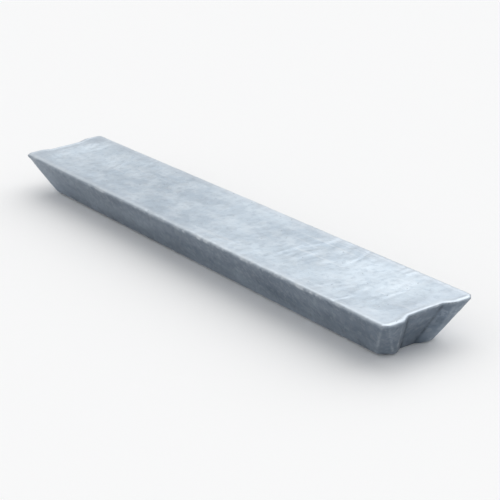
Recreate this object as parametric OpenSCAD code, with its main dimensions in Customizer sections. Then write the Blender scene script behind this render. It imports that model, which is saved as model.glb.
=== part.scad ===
// Cast aluminium ingot for remelting: a tapered bar that lies on its narrow mould face,
// with the wide open face up, ends that lean inwards, bevelled corners
// and a shallow recess down the middle of each end.
// The origin is the centre of the narrow face, with the length along X and Z up.

/* [Bar] */
// Length of the open face, measured to the sharp edges that the rim radius takes off
length = 635; // [480:5:820]
// Width of the open face, measured in the same way
open_w = 93; // [84:1:112]
// Width of the narrow face that formed on the floor of the mould
base_w = 58; // [54:1:66]
// Height from the narrow face to the open face
height = 41.5; // [34:0.5:54]
// How far each end leans in between the open face and the narrow face
end_run = 28; // [20:1:48]

/* [Edges] */
// Radius along the rim of the open face
rim_r = 1.5; // [1:0.5:4]
// Radius along the edges of the narrow face
base_r = 8; // [3:0.5:9]
// Corner bevel at the open face, measured along each edge
open_bevel = 4; // [3:1:12]
// Corner bevel at the narrow face, measured along each edge
base_bevel = 10; // [6:1:12]

/* [End recesses] */
// Width of the recess mouth at the open face
recess_open_w = 54; // [44:1:60]
// Width of the recess mouth at the narrow face
recess_base_w = 32; // [22:1:34]
// Depth of the recess, square to the leaning end
recess_depth = 5.5; // [2:0.5:8]
// How far each wall of the recess leans outwards from its floor to its mouth
recess_draft = 8.5; // [1:0.5:10]

/* [Open face] */
// Depth of the shrinkage hollow in the open face
sink_depth = 1.6; // [0.4:0.2:3]
// Flat land between the long rims and the hollow
side_land = 6; // [4:1:16]
// Flat land between the end rims and the hollow
end_land = 20; // [14:1:60]

/* [Hidden] */

// How far a cut or a trimming body runs past the surface it leaves
overrun = 10;
// Flats that make up each round edge
edge_steps = 8;

// Sizes of the bar seen from the side and along its diagonals
base_length = length - 2 * end_run;
open_diagonal = (length + open_w - 2 * open_bevel) / sqrt(2);
base_diagonal = (base_length + base_w - 2 * base_bevel) / sqrt(2);

// Lean of the ends from the vertical, and their length along the slope
end_lean = atan(end_run / height);
end_slope = norm([end_run, height]);

// The hollow is the lowest cap of a round-ended roller that touches the open face along this chord
sink_w = open_w - 2 * side_land;
sink_length = length - 2 * end_land;
sink_r = (pow(sink_w / 2, 2) + pow(sink_depth, 2)) / (2 * sink_depth);

// Points of a round edge, an arc about its centre from one direction to another
function round_edge(centre, radius, from, to) = [
    for (step = [0 : edge_steps])
        let (angle = from + (to - from) * step / edge_steps)
            centre + radius * [cos(angle), sin(angle)]
];

// Trapezoid with its narrow side on the X axis and its four corners rounded
module bar_profile(base_span, open_span) {
    lean = atan((open_span - base_span) / 2 / height);
    rim_cut = rim_r / tan((90 - lean) / 2);
    base_cut = base_r / tan((90 + lean) / 2);
    right = concat(
        round_edge([base_span / 2 - base_cut, base_r], base_r, -90, -lean),
        round_edge([open_span / 2 - rim_cut, height - rim_r], rim_r, -lean, 90)
    );
    left = [for (i = [len(right) - 1 : -1 : 0]) [-right[i].x, right[i].y]];
    polygon(concat(right, left));
}

// The same profile drawn out level, across the X axis, as long as the bar
module bar_slab(base_span, open_span) {
    rotate([90, 0, 0])
        linear_extrude(length + 2 * overrun, center = true)
            bar_profile(base_span, open_span);
}

// Block shaped by the mould: the section, the leaning ends and the bevelled corners
module cast_block() {
    intersection() {
        rotate([0, 0, 90]) bar_slab(base_w, open_w);
        bar_slab(base_length, length);
        rotate([0, 0, 45]) bar_slab(base_diagonal, open_diagonal);
        rotate([0, 0, -45]) bar_slab(base_diagonal, open_diagonal);
    }
}

// All that lies outside the recess floor and on the inner side of one of its two walls,
// from one slope length below the narrow face to one above the open face
module recess_wall_side() {
    spread = atan((recess_open_w - recess_base_w) / 2 / end_slope);
    wall_lean = recess_draft / recess_depth;
    rotate([-spread, 0, 0])
        translate([0, 0, -end_slope])
            linear_extrude(3 * end_slope)
                polygon([
                    [-recess_depth, -open_w],
                    [-recess_depth, recess_base_w / 2 - recess_draft],
                    [overrun, recess_base_w / 2 + wall_lean * overrun],
                    [overrun, -open_w]
                ]);
}

// Recess in the end at +X, wider at the open face, with drafted walls and a flat floor
module end_recess() {
    translate([base_length / 2, 0, 0])
        rotate([0, end_lean, 0])
            intersection() {
                recess_wall_side();
                mirror([0, 1, 0]) recess_wall_side();
            }
}

// Shallow hollow left in the open face where the metal shrank as it set
module shrinkage_hollow() {
    straight = sink_length - sink_w;
    translate([0, 0, height - sink_depth + sink_r])
        rotate([0, 90, 0])
            rotate_extrude($fn = 360)
                intersection() {
                    translate([0, -sink_length / 2 - sink_r]) square([sink_r, sink_length + 2 * sink_r]);
                    union() {
                        translate([0, -straight / 2]) square([sink_r, straight]);
                        translate([0, straight / 2]) circle(sink_r, $fn = 360);
                        translate([0, -straight / 2]) circle(sink_r, $fn = 360);
                    }
                }
}

module ingot() {
    color("silver")
        difference() {
            cast_block();
            end_recess();
            mirror([1, 0, 0]) end_recess();
            shrinkage_hollow();
        }
}

ingot();
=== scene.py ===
"""A cast aluminium ingot on a pale floor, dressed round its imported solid. Lengths are in metres."""

import math

import bpy
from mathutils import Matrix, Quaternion, Vector


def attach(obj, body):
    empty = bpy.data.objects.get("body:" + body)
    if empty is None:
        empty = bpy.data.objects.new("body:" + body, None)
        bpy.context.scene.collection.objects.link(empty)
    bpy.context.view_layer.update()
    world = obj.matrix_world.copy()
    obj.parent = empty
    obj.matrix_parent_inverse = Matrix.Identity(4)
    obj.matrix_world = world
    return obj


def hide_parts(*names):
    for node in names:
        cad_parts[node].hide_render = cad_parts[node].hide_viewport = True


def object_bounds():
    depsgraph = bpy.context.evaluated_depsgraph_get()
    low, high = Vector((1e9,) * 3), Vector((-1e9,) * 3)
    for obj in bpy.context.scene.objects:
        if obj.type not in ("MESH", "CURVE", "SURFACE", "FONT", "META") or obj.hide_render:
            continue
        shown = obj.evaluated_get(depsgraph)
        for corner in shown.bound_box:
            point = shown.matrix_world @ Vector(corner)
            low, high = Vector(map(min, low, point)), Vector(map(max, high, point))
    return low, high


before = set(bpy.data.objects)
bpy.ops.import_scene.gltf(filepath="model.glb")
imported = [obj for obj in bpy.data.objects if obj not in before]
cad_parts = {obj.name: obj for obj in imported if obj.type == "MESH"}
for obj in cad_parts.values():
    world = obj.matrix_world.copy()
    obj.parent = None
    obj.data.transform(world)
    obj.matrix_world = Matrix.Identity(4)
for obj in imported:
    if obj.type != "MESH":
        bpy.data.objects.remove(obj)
cad_low, cad_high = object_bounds()

MM = 0.001

# Fineness of the skin's mesh, and how much its edges are eased
WELD_REACH = 0.01 * MM
SKIN_STEP = 1.4 * MM
EASE_SHARE = 0.5
EASE_PASSES = 1

# Relief of the open face, then of the faces that lay against the mould, then of the rim and edges
RELIEF = {
    "Swell": 0.9 * MM,
    "Ripple": 0.35 * MM,
    "Wrinkle": 0.14 * MM,
    "Lip height": 0.5 * MM,
    "Lap depth": 0.3 * MM,
    "Peel depth": 0.16 * MM,
    "Grain depth": 0.5 * MM,
    "Pit depth": 0.7 * MM,
    "Rim sway": 0.8 * MM,
    "End sway": 4.0 * MM,
    "Rim rag": 0.5 * MM,
    "Dent depth": 0.6 * MM,
}

# Where the lip lies on the open face, and where the swell sets in behind it
LIP_INSET = 2.4 * MM
LIP_WIDTH = 1.6 * MM
SWELL_START = (2 * MM, 14 * MM)

# How far the rim's sway and rag reach down the flanks, and where the stronger sway of the ends sets in
SWAY_DROP = 14 * MM
RAG_DROP = 4 * MM
END_SWAY_START = (40 * MM, 12 * MM)

# How far a point stands out from its blurred surroundings on an edge, and lies behind them in a corner
BLUR_PASSES = 4
EDGE_BULGE = (0.06 * MM, 0.3 * MM)
CORNER_BULGE = (0.03 * MM, 0.2 * MM)

# Gas pits in the skin, pinholes in the open face, and the crystals of the set metal
PITS_PER_METRE = 80.0
PIT_RADIUS = 1.8 * MM
PINHOLES_PER_METRE = 60.0
PINHOLE_RADIUS = 0.8 * MM
PINHOLE_WAVER = 0.5 * MM
PINHOLES_LEFT_OUT = 0.75
CRYSTALS_PER_METRE = 210.0
GRAINS_PER_METRE = 330.0
CRYSTAL_WAVER = 2.5 * MM

# Border of the open face near its ends and sides, where its colour turns darker
END_BORDER = (10 * MM, 40 * MM)
SIDE_BORDER = (3 * MM, 14 * MM)
BORDER_WAVER = 5 * MM

# Colours of the faces that lay against the mould
SKIN_DULL = (0.215, 0.262, 0.32, 1)
SKIN_CLEAR = (0.33, 0.387, 0.455, 1)
SKIN_PALE = (0.40, 0.455, 0.525, 1)
SKIN_STAIN = (0.13, 0.162, 0.205, 1)
# Painted shade: the flanks darken towards the rim
SKIN_PAINTED_TOP_SHADE = (0.11, 0.142, 0.185, 1)
NARROW_FACE_SPECKLE = (0.82, 0.86, 0.89, 1)

# Colours of the open face
OPEN_DULL = (0.51, 0.60, 0.69, 1)
OPEN_CLEAR = (0.69, 0.775, 0.85, 1)
OPEN_BLOTCH = (0.78, 0.85, 0.91, 1)
OPEN_FROST = (0.43, 0.505, 0.585, 1)
OPEN_BORDER = (0.46, 0.515, 0.59, 1)
OPEN_SCRATCH = (0.86, 0.90, 0.94, 1)

# Colours of marks on all faces: pale grains and dark crystals, a painted sheen along the lip, edges worn
# bare and brightened by a painted highlight, and painted shade in inner corners and pinholes
PALE_GRAIN = (0.74, 0.79, 0.84, 1)
DARK_CRYSTAL = (0.20, 0.235, 0.275, 1)
LIP_SHEEN = (0.80, 0.86, 0.91, 1)
WORN_METAL_AND_SHEEN = (0.84, 0.88, 0.91, 1)
CORNER_SHADE = (0.075, 0.088, 0.108, 1)
PINHOLE_SHADE = (0.10, 0.115, 0.135, 1)

# Roughness of the mould faces, how much smoother the open face is, and the fine bump on both
SKIN_ROUGHNESS = 0.46
OPEN_SMOOTHER = 0.09
BUMP_STRENGTH = 0.6
BUMP_HEIGHT = 0.4 * MM

# Floor and light: a wide matt floor, an even sky from the horizon upwards, and one broad key lamp
FLOOR_HALF = 15.0
FLOOR_COLOUR = (0.97, 0.97, 0.97, 1)
SKY_STOPS = [(0.0, (0.61, 0.62, 0.635)), (0.5, (0.66, 0.665, 0.67)), (1.0, (0.68, 0.68, 0.68))]
KEY_PLACE = Vector((-0.4, 2.1, 3.3))
KEY_SPREAD = math.radians(86.0)
KEY_STRENGTH = 1.15

# Camera: where it stands, what it is aimed at, how wide it sees and how far it is tipped
CAMERA_PLACE = Vector((1.212, -0.712, 0.537))
CAMERA_AIM = Vector((0.055, 0.0, 0.02))
CAMERA_FIELD = math.radians(17.9)
CAMERA_ROLL = math.radians(-4.7)


class Wire:
    """A socket in a node tree. Arithmetic on wires adds Math nodes to the tree."""

    def __init__(self, nodes, socket):
        self.nodes = nodes
        self.socket = socket

    def other(self, name):
        """Another output of the same node."""
        return Wire(self.nodes, self.socket.node.outputs[name])

    def __add__(self, value):
        return self.nodes.math("ADD", self, value)

    def __sub__(self, value):
        return self.nodes.math("SUBTRACT", self, value)

    def __rsub__(self, value):
        return self.nodes.math("SUBTRACT", value, self)

    def __mul__(self, value):
        return self.nodes.math("MULTIPLY", self, value)

    def __truediv__(self, value):
        return self.nodes.math("DIVIDE", self, value)

    def __neg__(self):
        return self.nodes.math("MULTIPLY", self, -1.0)

    def __abs__(self):
        return self.nodes.math("ABSOLUTE", self)

    __radd__ = __add__
    __rmul__ = __mul__

    def above(self, low, high):
        """0 below low, 1 above high, with a smooth rise between them."""
        return self.nodes.add(
            "ShaderNodeMapRange",
            {"interpolation_type": "SMOOTHSTEP"},
            {"Value": self, "From Min": low, "From Max": high},
        )

    def hump(self, middle, width):
        """1 where the wire is at the middle, falling off to both sides."""
        off = (self - middle) / width
        return self.nodes.math("EXPONENT", -(off * off))


class Nodes:
    """Adds nodes to one tree. A node is given by its type, its settings and its inputs."""

    def __init__(self, tree):
        self.tree = tree

    def add(self, kind, settings=None, inputs=None, out=0):
        node = self.tree.nodes.new(kind)
        for name, value in (settings or {}).items():
            if name == "stops":
                self.set_stops(node.color_ramp, value)
            else:
                setattr(node, name, value)
        for name, value in (inputs or {}).items():
            if isinstance(value, Wire):
                self.tree.links.new(value.socket, node.inputs[name])
            else:
                node.inputs[name].default_value = value
        return Wire(self, node.outputs[out]) if len(node.outputs) else node

    @staticmethod
    def set_stops(ramp, stops):
        while len(ramp.elements) < len(stops):
            ramp.elements.new(1.0)
        for element, (place, colour) in zip(ramp.elements, stops):
            element.position = place
            element.color = (*colour, 1.0)

    def math(self, operation, *values):
        return self.add("ShaderNodeMath", {"operation": operation}, dict(enumerate(values)))

    def vector(self, operation, *values, out=0):
        return self.add("ShaderNodeVectorMath", {"operation": operation}, dict(enumerate(values)), out)

    def scaled(self, vector, amount):
        """A vector times a number."""
        return self.add("ShaderNodeVectorMath", {"operation": "SCALE"}, {"Vector": vector, "Scale": amount})

    def split(self, vector):
        """The X of a vector, with its Y and Z as other outputs."""
        return self.add("ShaderNodeSeparateXYZ", {}, {0: vector})

    def noise(self, place, waves, detail=2.0, stretch=None, out=0):
        """Cloudy noise round 0.5, with so many waves to the metre."""
        if stretch:
            place = self.vector("MULTIPLY", place, stretch)
        return self.add("ShaderNodeTexNoise", {}, {"Vector": place, "Scale": waves, "Detail": detail}, out)

    def shaken(self, place, waves, reach):
        """A place moved about by noise, up to so far."""
        off = self.vector("SUBTRACT", self.noise(place, waves, out="Color"), (0.5, 0.5, 0.5))
        return self.vector("ADD", place, self.scaled(off, 2.0 * reach))

    def cells(self, place, count):
        """A number between 0 and 1 for each cell of a mosaic, with so many cells to the metre."""
        mosaic = self.add("ShaderNodeTexVoronoi", {}, {"Vector": place, "Scale": count}, out="Color")
        return self.split(mosaic)

    def dots(self, place, count, radius, left_out):
        """1 in round dots seen from above, with a share of their places left out."""
        mosaic = self.add(
            "ShaderNodeTexVoronoi",
            {"voronoi_dimensions": "2D"},
            {"Vector": place, "Scale": count},
        )
        chosen = self.split(mosaic.other("Color")).above(left_out, left_out + 0.02)
        return (1.0 - mosaic.above(0.5 * radius * count, radius * count)) * chosen

    def blend(self, factor, first, second):
        """A colour between two colours."""
        return self.add("ShaderNodeMix", {"data_type": "RGBA"}, {0: factor, 6: first, 7: second}, out=2)


# Cast skin

def cast_skin_tree():
    """Node tree that works the relief of an open-mould casting into a fine mesh."""
    tree = bpy.data.node_groups.new("cast_skin", "GeometryNodeTree")
    sockets = tree.interface
    sockets.new_socket("Geometry", in_out="INPUT", socket_type="NodeSocketGeometry")
    for name in RELIEF:
        sockets.new_socket(name, in_out="INPUT", socket_type="NodeSocketFloat")
    sockets.new_socket("Skin", in_out="INPUT", socket_type="NodeSocketMaterial")
    sockets.new_socket("Geometry", in_out="OUTPUT", socket_type="NodeSocketGeometry")

    n = Nodes(tree)
    given = n.add("NodeGroupInput")
    mesh = given.other("Geometry")
    place = n.add("GeometryNodeInputPosition")
    normal = n.add("GeometryNodeInputNormal")
    facing_up = n.split(normal).other("Z")

    # Which face of the casting a point belongs to
    open_face = facing_up.above(0.5, 0.9)
    mould_floor = (-facing_up).above(0.6, 0.95)
    flank = 1.0 - open_face - mould_floor

    # How far a point of the open face lies from its rim, and a point of the flanks from the open face
    def gap_to(chosen):
        faces = n.add("GeometryNodeSeparateGeometry", {"domain": "FACE"}, {0: mesh, 1: chosen})
        return n.add("GeometryNodeProximity", {"target_element": "FACES"}, {0: faces}).other("Distance")

    rim_gap = gap_to(n.math("LESS_THAN", facing_up, 0.5))
    drop = gap_to(n.math("GREATER_THAN", facing_up, 0.5))

    # Convex edges stand out from their own blurred shape, and inner corners lie behind it
    blurred = n.add(
        "GeometryNodeBlurAttribute",
        {"data_type": "FLOAT_VECTOR"},
        {"Value": place, "Iterations": BLUR_PASSES},
    )
    bulge = n.vector("DOT_PRODUCT", n.vector("SUBTRACT", place, blurred), normal, out="Value")
    edge = bulge.above(*EDGE_BULGE)
    inner_corner = (-bulge).above(*CORNER_BULGE)

    # Open face: slow swell, finer ripples, and the lip that the metal's skin left along the rim
    swell = (n.noise(place, 9.0) - 0.5) * given.other("Swell") * rim_gap.above(*SWELL_START)
    ripple = (n.noise(place, 30.0, detail=3.0, stretch=(0.6, 1.3, 1.0)) - 0.5) * given.other("Ripple")
    lip_run = n.noise(place, 24.0, detail=3.0).above(0.3, 0.7)
    lip = rim_gap.hump(LIP_INSET, LIP_WIDTH) * given.other("Lip height") * (0.15 + lip_run)
    folds = n.noise(place, 55.0, detail=1.0, stretch=(1.0, 0.45, 1.0)) * 9.0
    folds = folds + n.noise(place, 7.0, detail=1.0) * 12.0
    fold_patch = n.noise(place, 13.0).above(0.48, 0.66)
    wrinkles = n.math("SINE", folds * 2.0) * given.other("Wrinkle") * fold_patch
    top_relief = (swell + ripple + wrinkles + lip) * open_face

    # Flanks: level laps where the metal rose in steps, and pits where gas was trapped
    laps = (n.noise(place, 10.0, stretch=(0.3, 1.0, 9.0)) - 0.5) * given.other("Lap depth") * flank
    peel = (n.noise(place, 85.0) - 0.5) * given.other("Peel depth") * flank
    cells = n.add("ShaderNodeTexVoronoi", {}, {"Vector": place, "Scale": PITS_PER_METRE})
    chosen = n.split(cells.other("Color")).above(0.6, 0.65)
    pit_edge = PIT_RADIUS * PITS_PER_METRE
    pit = (1.0 - cells.above(0.3 * pit_edge, pit_edge)) * chosen
    pits = pit * given.other("Pit depth") * (1.0 - 0.8 * open_face)

    # Narrow face: coarse grain, always inwards so that the ingot still stands on its highest spots
    grain = n.noise(place, 120.0, detail=3.0).above(0.3, 0.75) * given.other("Grain depth") * mould_floor

    # Edges: dents from handling
    dents = n.noise(place, 38.0).above(0.58, 0.74) * edge * given.other("Dent depth")
    depth = top_relief + laps + peel - pits - grain - dents

    # Rim: it sways and is ragged, most of all at the ends
    end_start, end_full = END_SWAY_START
    at_end = abs(n.split(place)).above(cad_high.x - end_start, cad_high.x - end_full)
    reach = given.other("Rim sway") + at_end * (given.other("End sway") - given.other("Rim sway"))
    waves = (n.noise(place, 34.0) - 0.5) * 2.0 * reach * (1.0 - drop.above(0.0, SWAY_DROP))
    rag = (n.noise(place, 150.0) - 0.5) * 2.0 * given.other("Rim rag") * (1.0 - drop.above(0.0, RAG_DROP))
    outward = n.vector("MULTIPLY", normal, (1.0, 1.0, 0.0))
    offset = n.vector("ADD", n.scaled(normal, depth), n.scaled(outward, waves + rag))

    for name, value in (
        ("open_face", open_face),
        ("rim_lip", rim_gap.hump(LIP_INSET, 2.0 * LIP_WIDTH) * open_face),
        ("edge_wear", edge),
        ("inner_corner", inner_corner),
        ("mould_floor", mould_floor),
    ):
        mesh = n.add(
            "GeometryNodeStoreNamedAttribute",
            {"domain": "POINT"},
            {"Geometry": mesh, "Name": name, "Value": value},
        )
    mesh = n.add("GeometryNodeSetPosition", {}, {"Geometry": mesh, "Offset": offset})

    # Nothing reaches below the floor
    moved = n.split(n.add("GeometryNodeInputPosition"))
    grounded = n.add(
        "ShaderNodeCombineXYZ",
        {},
        {0: moved, 1: moved.other("Y"), 2: n.math("MAXIMUM", moved.other("Z"), 0.0)},
    )
    mesh = n.add("GeometryNodeSetPosition", {}, {"Geometry": mesh, "Position": grounded})
    mesh = n.add("GeometryNodeSetShadeSmooth", {}, {"Geometry": mesh})
    mesh = n.add("GeometryNodeRealizeInstances", {}, {"Geometry": mesh})
    mesh = n.add("GeometryNodeSetMaterial", {}, {"Geometry": mesh, "Material": given.other("Skin")})
    n.add("NodeGroupOutput", {}, {"Geometry": mesh})
    return tree


def cast_skin(node, material):
    """The ingot's finished surface, made from its solid."""
    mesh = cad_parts[node].data.copy()
    piece = bpy.data.objects.new("ingot_skin", mesh)
    bpy.context.scene.collection.objects.link(piece)

    weld = piece.modifiers.new("weld", "WELD")
    weld.merge_threshold = WELD_REACH
    fine = piece.modifiers.new("fine_mesh", "REMESH")
    fine.mode = "VOXEL"
    fine.voxel_size = SKIN_STEP
    wrap = piece.modifiers.new("true_faces", "SHRINKWRAP")
    wrap.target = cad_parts[node]
    ease = piece.modifiers.new("eased_edges", "SMOOTH")
    ease.factor = EASE_SHARE
    ease.iterations = EASE_PASSES
    relief = piece.modifiers.new("cast_skin", "NODES")
    relief.node_group = cast_skin_tree()
    values = {**RELIEF, "Skin": material}
    for socket in relief.node_group.interface.items_tree:
        if socket.in_out == "INPUT" and socket.name in values:
            relief[socket.identifier] = values[socket.name]

    bpy.context.view_layer.update()
    graph = bpy.context.evaluated_depsgraph_get()
    finished = bpy.data.meshes.new_from_object(piece.evaluated_get(graph), depsgraph=graph)
    piece.modifiers.clear()
    piece.data = finished
    return piece


# Materials

def cast_aluminium():
    """Bare cast metal: satin on the open face, matt and grained where it lay against the mould."""
    material = bpy.data.materials.new("cast_aluminium")
    material.use_nodes = True
    tree = material.node_tree
    tree.nodes.clear()
    n = Nodes(tree)
    place = n.add("ShaderNodeTexCoord").other("Object")

    def marked(name):
        return n.add("ShaderNodeAttribute", {"attribute_name": name}).other("Fac")

    open_face = marked("open_face")
    rim_lip = marked("rim_lip")
    edge_wear = marked("edge_wear")
    inner_corner = marked("inner_corner")
    mould_floor = marked("mould_floor")

    # Where a point lies on the bar, with a wavering measure so that no border is straight
    spot = n.split(n.shaken(place, 30.0, BORDER_WAVER))
    share_of_height = spot.other("Z") / cad_high.z
    from_end = cad_high.x - abs(spot)
    from_side = cad_high.y - abs(spot.other("Y"))
    hollow = from_end.above(*END_BORDER) * from_side.above(*SIDE_BORDER)

    # Slow changes of tone
    clouds = n.noise(place, 14.0, detail=4.0, stretch=(0.6, 1.2, 1.0))
    blotches = n.noise(place, 60.0, detail=5.0, stretch=(0.7, 1.0, 1.0)).above(0.42, 0.68)
    frost = n.noise(place, 170.0, detail=4.0)
    streaks = n.noise(place, 9.0, detail=4.0, stretch=(1.0, 1.0, 7.0))
    mottle = n.noise(place, 70.0, detail=5.0)
    speckle = n.noise(place, 420.0)

    # Crystals of the set metal, each with a tone of its own
    crystal = n.cells(n.shaken(place, 60.0, CRYSTAL_WAVER), CRYSTALS_PER_METRE)
    grain = n.cells(n.shaken(place, 150.0, CRYSTAL_WAVER), GRAINS_PER_METRE)

    # Pinholes, scuffs, scratches along the bar, edges worn bare with a painted highlight along them, and
    # painted shade in the inner corners
    pinhole_place = n.shaken(place, 500.0, PINHOLE_WAVER)
    pinhole = n.dots(pinhole_place, PINHOLES_PER_METRE, PINHOLE_RADIUS, PINHOLES_LEFT_OUT)
    patches = n.noise(place, 14.0).above(0.3, 0.65)
    scuffs = n.noise(place, 110.0, detail=5.0).above(0.4, 0.7) * patches
    scratches = n.noise(place, 260.0, stretch=(0.05, 1.0, 1.0)).above(0.62, 0.7) * patches
    edge_rub_and_sheen = edge_wear * (0.06 + 0.8 * scuffs)
    painted_corner_shade = inner_corner * (0.25 + 0.45 * mottle.above(0.38, 0.62))

    skin = n.blend(streaks.above(0.3, 0.7), SKIN_DULL, SKIN_CLEAR)
    skin = n.blend(mottle.above(0.5, 0.75) * 0.6, skin, SKIN_PALE)
    skin = n.blend((1.0 - mottle).above(0.55, 0.75) * 0.6, skin, SKIN_STAIN)
    # Painted shade: darker towards the top of the flanks
    skin = n.blend(share_of_height * 0.55, skin, SKIN_PAINTED_TOP_SHADE)
    bright = n.blend(clouds.above(0.3, 0.7), OPEN_DULL, OPEN_CLEAR)
    bright = n.blend(blotches * 0.5, bright, OPEN_BLOTCH)
    bright = n.blend(frost.above(0.48, 0.7) * 0.4, bright, OPEN_FROST)
    bright = n.blend((1.0 - hollow) * 0.35, bright, OPEN_BORDER)
    bright = n.blend(scratches * 0.3, bright, OPEN_SCRATCH)
    colour = n.blend(open_face, skin, bright)
    colour = n.blend((grain - 0.5).above(0.0, 0.5) * 0.12, colour, PALE_GRAIN)
    colour = n.blend((0.5 - crystal).above(0.0, 0.5) * 0.07, colour, DARK_CRYSTAL)
    colour = n.blend(mould_floor * speckle.above(0.5, 0.7), colour, NARROW_FACE_SPECKLE)
    # Painted sheen along the lip of the open face
    colour = n.blend(rim_lip * 0.4, colour, LIP_SHEEN)
    # Bright edges: metal worn bare in patches, and a faint painted highlight along every edge
    colour = n.blend(edge_rub_and_sheen * 0.6, colour, WORN_METAL_AND_SHEEN)
    # Painted shade in the inner corners
    colour = n.blend(painted_corner_shade, colour, CORNER_SHADE)
    # Painted shade inside the pinholes
    colour = n.blend(pinhole * 0.5, colour, PINHOLE_SHADE)

    uneven = (clouds - 0.5) * 0.3 + (frost - 0.5) * 0.2 + (crystal - 0.5) * 0.06
    roughness = SKIN_ROUGHNESS - OPEN_SMOOTHER * open_face + uneven
    fine_relief = n.noise(place, 600.0, detail=3.0) * (1.0 - 0.7 * open_face)
    ridges = n.noise(place, 140.0, detail=4.0, stretch=(0.6, 1.0, 1.0)) * open_face * 0.7
    relief = fine_relief + ridges + grain * 0.1 - pinhole * 0.8
    bump = n.add(
        "ShaderNodeBump",
        {},
        {"Strength": BUMP_STRENGTH, "Distance": BUMP_HEIGHT, "Height": relief},
    )
    surface = n.add(
        "ShaderNodeBsdfPrincipled",
        {},
        {"Base Color": colour, "Metallic": 1.0, "Roughness": roughness, "Normal": bump},
    )
    n.add("ShaderNodeOutputMaterial", {}, {"Surface": surface})
    return material


def pale_floor():
    """Plain matt paint."""
    material = bpy.data.materials.new("pale_floor")
    material.use_nodes = True
    paint = material.node_tree.nodes["Principled BSDF"]
    paint.inputs["Base Color"].default_value = FLOOR_COLOUR
    paint.inputs["Roughness"].default_value = 0.9
    paint.inputs["Specular IOR Level"].default_value = 0.1
    return material


# Stage

def floor():
    """A wide square on which the ingot lies."""
    half = FLOOR_HALF
    mesh = bpy.data.meshes.new("floor")
    corners = [(-half, -half, 0), (half, -half, 0), (half, half, 0), (-half, half, 0)]
    mesh.from_pydata(corners, [], [(0, 1, 2, 3)])
    mesh.materials.append(pale_floor())
    plane = bpy.data.objects.new("floor", mesh)
    bpy.context.scene.collection.objects.link(plane)


def soft_sky():
    """Even light all round, a little brighter overhead."""
    world = bpy.data.worlds.new("soft_sky")
    world.use_nodes = True
    tree = world.node_tree
    tree.nodes.clear()
    n = Nodes(tree)
    direction = n.split(n.add("ShaderNodeTexCoord").other("Generated"))
    sky = n.add("ShaderNodeValToRGB", {"stops": SKY_STOPS}, {0: direction.other("Z")})
    background = n.add("ShaderNodeBackground", {}, {"Color": sky, "Strength": 1.0})
    n.add("ShaderNodeOutputWorld", {}, {"Surface": background})
    bpy.context.scene.world = world


def key_lamp():
    """A distant lamp as broad as a softbox, shining towards the ingot."""
    lamp = bpy.data.lights.new("key", "SUN")
    lamp.angle = KEY_SPREAD
    lamp.energy = KEY_STRENGTH
    holder = bpy.data.objects.new("key", lamp)
    holder.location = KEY_PLACE
    holder.rotation_euler = (-KEY_PLACE).to_track_quat("-Z", "Y").to_euler()
    bpy.context.scene.collection.objects.link(holder)


def camera():
    """A camera at the photograph's viewing angle."""
    lens = bpy.data.cameras.new("camera")
    lens.angle = CAMERA_FIELD
    holder = bpy.data.objects.new("camera", lens)
    holder.location = CAMERA_PLACE
    level = (CAMERA_AIM - CAMERA_PLACE).to_track_quat("-Z", "Y")
    holder.rotation_euler = (level @ Quaternion((0, 0, 1), CAMERA_ROLL)).to_euler()
    bpy.context.scene.collection.objects.link(holder)
    bpy.context.scene.camera = holder


def main():
    bpy.context.scene.view_settings.view_transform = "Standard"
    ingot = cast_skin("ingot", cast_aluminium())
    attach(ingot, "root")
    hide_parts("ingot")
    floor()
    soft_sky()
    key_lamp()
    camera()


main()
